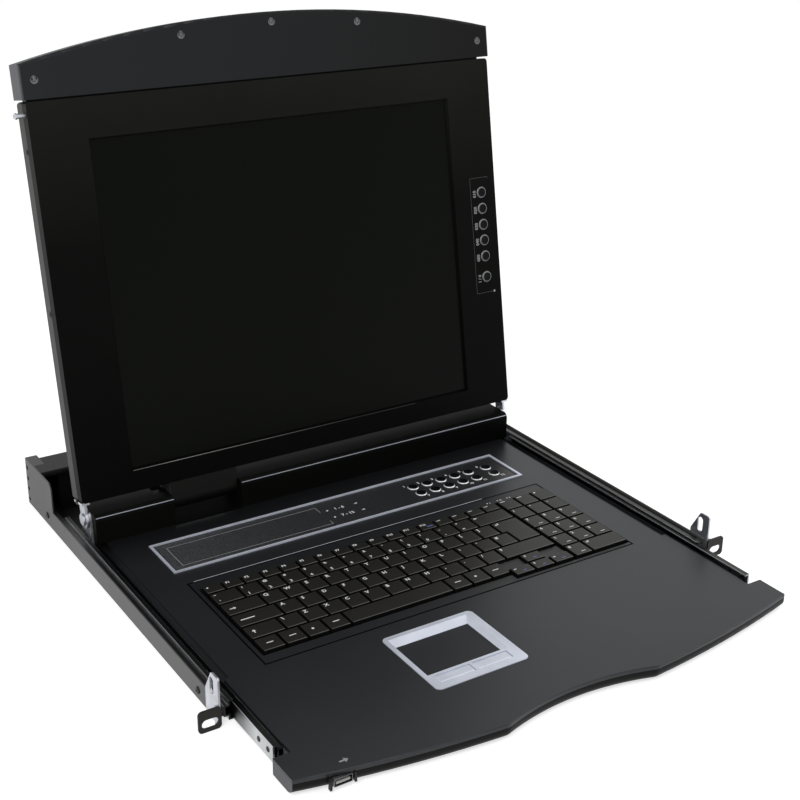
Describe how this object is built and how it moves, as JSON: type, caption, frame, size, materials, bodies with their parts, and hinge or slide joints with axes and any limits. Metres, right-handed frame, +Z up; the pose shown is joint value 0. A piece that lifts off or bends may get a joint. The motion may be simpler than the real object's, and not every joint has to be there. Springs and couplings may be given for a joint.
{
  "type": "rackmount lcd console drawer",
  "caption": "Rackmount console drawer with a folding flat screen, keyboard, touchpad and port buttons on telescopic slides.",
  "frame": {"origin": "centre of the whole part's footprint at rest, on the chassis's underside", "axes": "+Z up, +Y from the operator towards the rear of the rack, +X to the operator's right"},
  "size_m": [0.4826, 0.5066, 0.4212],
  "materials": {
    "chassis_paint": "satin",
    "zinc": "satin",
    "ear_black": "satin",
    "tray_paint": "satin",
    "lcd_plastic": "matte",
    "screen": "semi-gloss",
    "keys": "matte",
    "silver": "satin",
    "inlay": "textured",
    "button": "satin",
    "steel": "satin",
    "board": "satin",
    "connector": "satin"
  },
  "bodies": {
    "chassis": {"bottom_pan": "chassis_paint", "side_plate_left": "chassis_paint", "side_plate_right": "chassis_paint", "rear_panel": "chassis_paint", "top_cover": "chassis_paint", "outer_slides": "zinc", "ear_tabs": "zinc", "ear_plates": "ear_black", "port_connectors": "connector", "switch_board": "board", "power_supply": "steel", "power_inlet": "connector"},
    "slide_members": {"middle_slides": "zinc"},
    "drawer": {"deck": "tray_paint", "front_lip": "tray_paint", "hinge_brackets": "zinc", "hinge_cover_left": "tray_paint", "hinge_cover_right": "tray_paint", "inner_slides": "zinc", "keyboard_frame": "keys", "port_frame": "silver", "port_inlay": "inlay", "touchpad_frame": "silver", "touchpad_surface": "inlay", "tray_pan": "tray_paint", "usb_socket": "steel"},
    "lcd": {"hinge_leaves": "zinc", "bezel": "lcd_plastic", "rear_shell": "lcd_plastic", "screen_panel": "screen", "end_cap": "lcd_plastic", "cap_screws": "steel"},
    "keys_bottom_row_body": {"keys_bottom_row": "keys"},
    "keys_caps_row_body": {"keys_caps_row": "keys"},
    "keys_function_row_body": {"keys_function_row": "keys"},
    "keys_number_pad_body": {"keys_number_pad": "keys"},
    "keys_number_row_body": {"keys_number_row": "keys"},
    "keys_shift_row_body": {"keys_shift_row": "keys"},
    "keys_tab_row_body": {"keys_tab_row": "keys"},
    "port_button_01_body": {"port_button_01": "button"},
    "port_button_02_body": {"port_button_02": "button"},
    "port_button_03_body": {"port_button_03": "button"},
    "port_button_04_body": {"port_button_04": "button"},
    "port_button_05_body": {"port_button_05": "button"},
    "port_button_06_body": {"port_button_06": "button"},
    "port_button_07_body": {"port_button_07": "button"},
    "port_button_08_body": {"port_button_08": "button"},
    "port_button_09_body": {"port_button_09": "button"},
    "port_button_10_body": {"port_button_10": "button"},
    "port_button_11_body": {"port_button_11": "button"},
    "port_button_12_body": {"port_button_12": "button"},
    "osd_button_1_body": {"osd_button_1": "button"},
    "osd_button_2_body": {"osd_button_2": "button"},
    "osd_button_3_body": {"osd_button_3": "button"},
    "osd_button_4_body": {"osd_button_4": "button"},
    "osd_button_5_body": {"osd_button_5": "button"},
    "osd_button_6_body": {"osd_button_6": "button"},
    "touchpad_button_left_body": {"touchpad_button_left": "button"},
    "touchpad_button_right_body": {"touchpad_button_right": "button"},
    "lock_pin_body": {"lock_pin": "steel"}
  },
  "joints": [
    {"name": "drawer_slide", "type": "slide", "parent": "chassis", "child": "drawer", "axis": [0, -1, 0], "range_m": [-0.063, 0.32]},
    {"name": "middle_slide", "type": "slide", "parent": "chassis", "child": "slide_members", "axis": [0, -1, 0], "range_m": [-0.0315, 0.16]},
    {"name": "lcd_hinge", "type": "hinge", "parent": "drawer", "child": "lcd", "pos_m": [0, 0.13862, 0.0312], "axis": [-1, 0, 0], "range_deg": [-99.8, 15]},
    {"name": "lock_pin_press", "type": "slide", "parent": "lcd", "child": "lock_pin_body", "axis": [1, 0, 0], "range_m": [0, 0.006], "stiffness_N_per_m": 300, "springref_m": -0.002},
    {"name": "keys_bottom_row_press", "type": "slide", "parent": "drawer", "child": "keys_bottom_row_body", "axis": [0, 0, -1], "range_m": [0, 0.0018], "stiffness_N_per_m": 2000, "springref_m": -0.001},
    {"name": "keys_caps_row_press", "type": "slide", "parent": "drawer", "child": "keys_caps_row_body", "axis": [0, 0, -1], "range_m": [0, 0.0018], "stiffness_N_per_m": 2000, "springref_m": -0.001},
    {"name": "keys_function_row_press", "type": "slide", "parent": "drawer", "child": "keys_function_row_body", "axis": [0, 0, -1], "range_m": [0, 0.0018], "stiffness_N_per_m": 2000, "springref_m": -0.001},
    {"name": "keys_number_pad_press", "type": "slide", "parent": "drawer", "child": "keys_number_pad_body", "axis": [0, 0, -1], "range_m": [0, 0.0018], "stiffness_N_per_m": 2000, "springref_m": -0.001},
    {"name": "keys_number_row_press", "type": "slide", "parent": "drawer", "child": "keys_number_row_body", "axis": [0, 0, -1], "range_m": [0, 0.0018], "stiffness_N_per_m": 2000, "springref_m": -0.001},
    {"name": "keys_shift_row_press", "type": "slide", "parent": "drawer", "child": "keys_shift_row_body", "axis": [0, 0, -1], "range_m": [0, 0.0018], "stiffness_N_per_m": 2000, "springref_m": -0.001},
    {"name": "keys_tab_row_press", "type": "slide", "parent": "drawer", "child": "keys_tab_row_body", "axis": [0, 0, -1], "range_m": [0, 0.0018], "stiffness_N_per_m": 2000, "springref_m": -0.001},
    {"name": "port_button_01_press", "type": "slide", "parent": "drawer", "child": "port_button_01_body", "axis": [0, 0, -1], "range_m": [0, 0.0008], "stiffness_N_per_m": 300, "springref_m": -0.001},
    {"name": "port_button_02_press", "type": "slide", "parent": "drawer", "child": "port_button_02_body", "axis": [0, 0, -1], "range_m": [0, 0.0008], "stiffness_N_per_m": 300, "springref_m": -0.001},
    {"name": "port_button_03_press", "type": "slide", "parent": "drawer", "child": "port_button_03_body", "axis": [0, 0, -1], "range_m": [0, 0.0008], "stiffness_N_per_m": 300, "springref_m": -0.001},
    {"name": "port_button_04_press", "type": "slide", "parent": "drawer", "child": "port_button_04_body", "axis": [0, 0, -1], "range_m": [0, 0.0008], "stiffness_N_per_m": 300, "springref_m": -0.001},
    {"name": "port_button_05_press", "type": "slide", "parent": "drawer", "child": "port_button_05_body", "axis": [0, 0, -1], "range_m": [0, 0.0008], "stiffness_N_per_m": 300, "springref_m": -0.001},
    {"name": "port_button_06_press", "type": "slide", "parent": "drawer", "child": "port_button_06_body", "axis": [0, 0, -1], "range_m": [0, 0.0008], "stiffness_N_per_m": 300, "springref_m": -0.001},
    {"name": "port_button_07_press", "type": "slide", "parent": "drawer", "child": "port_button_07_body", "axis": [0, 0, -1], "range_m": [0, 0.0008], "stiffness_N_per_m": 300, "springref_m": -0.001},
    {"name": "port_button_08_press", "type": "slide", "parent": "drawer", "child": "port_button_08_body", "axis": [0, 0, -1], "range_m": [0, 0.0008], "stiffness_N_per_m": 300, "springref_m": -0.001},
    {"name": "port_button_09_press", "type": "slide", "parent": "drawer", "child": "port_button_09_body", "axis": [0, 0, -1], "range_m": [0, 0.0008], "stiffness_N_per_m": 300, "springref_m": -0.001},
    {"name": "port_button_10_press", "type": "slide", "parent": "drawer", "child": "port_button_10_body", "axis": [0, 0, -1], "range_m": [0, 0.0008], "stiffness_N_per_m": 300, "springref_m": -0.001},
    {"name": "port_button_11_press", "type": "slide", "parent": "drawer", "child": "port_button_11_body", "axis": [0, 0, -1], "range_m": [0, 0.0008], "stiffness_N_per_m": 300, "springref_m": -0.001},
    {"name": "port_button_12_press", "type": "slide", "parent": "drawer", "child": "port_button_12_body", "axis": [0, 0, -1], "range_m": [0, 0.0008], "stiffness_N_per_m": 300, "springref_m": -0.001},
    {"name": "touchpad_button_left_press", "type": "slide", "parent": "drawer", "child": "touchpad_button_left_body", "axis": [0, 0, -1], "range_m": [0, 0.0006], "stiffness_N_per_m": 400, "springref_m": -0.001},
    {"name": "touchpad_button_right_press", "type": "slide", "parent": "drawer", "child": "touchpad_button_right_body", "axis": [0, 0, -1], "range_m": [0, 0.0006], "stiffness_N_per_m": 400, "springref_m": -0.001},
    {"name": "osd_button_1_press", "type": "slide", "parent": "lcd", "child": "osd_button_1_body", "axis": [0, 0.9854, -0.1702], "range_m": [0, 0.0008], "stiffness_N_per_m": 300, "springref_m": -0.001},
    {"name": "osd_button_2_press", "type": "slide", "parent": "lcd", "child": "osd_button_2_body", "axis": [0, 0.9854, -0.1702], "range_m": [0, 0.0008], "stiffness_N_per_m": 300, "springref_m": -0.001},
    {"name": "osd_button_3_press", "type": "slide", "parent": "lcd", "child": "osd_button_3_body", "axis": [0, 0.9854, -0.1702], "range_m": [0, 0.0008], "stiffness_N_per_m": 300, "springref_m": -0.001},
    {"name": "osd_button_4_press", "type": "slide", "parent": "lcd", "child": "osd_button_4_body", "axis": [0, 0.9854, -0.1702], "range_m": [0, 0.0008], "stiffness_N_per_m": 300, "springref_m": -0.001},
    {"name": "osd_button_5_press", "type": "slide", "parent": "lcd", "child": "osd_button_5_body", "axis": [0, 0.9854, -0.1702], "range_m": [0, 0.0008], "stiffness_N_per_m": 300, "springref_m": -0.001},
    {"name": "osd_button_6_press", "type": "slide", "parent": "lcd", "child": "osd_button_6_body", "axis": [0, 0.9854, -0.1702], "range_m": [0, 0.0008], "stiffness_N_per_m": 300, "springref_m": -0.001}
  ],
  "couplings": [
    {"joint": "middle_slide", "follows": "drawer_slide", "ratio": 0.5}
  ]
}
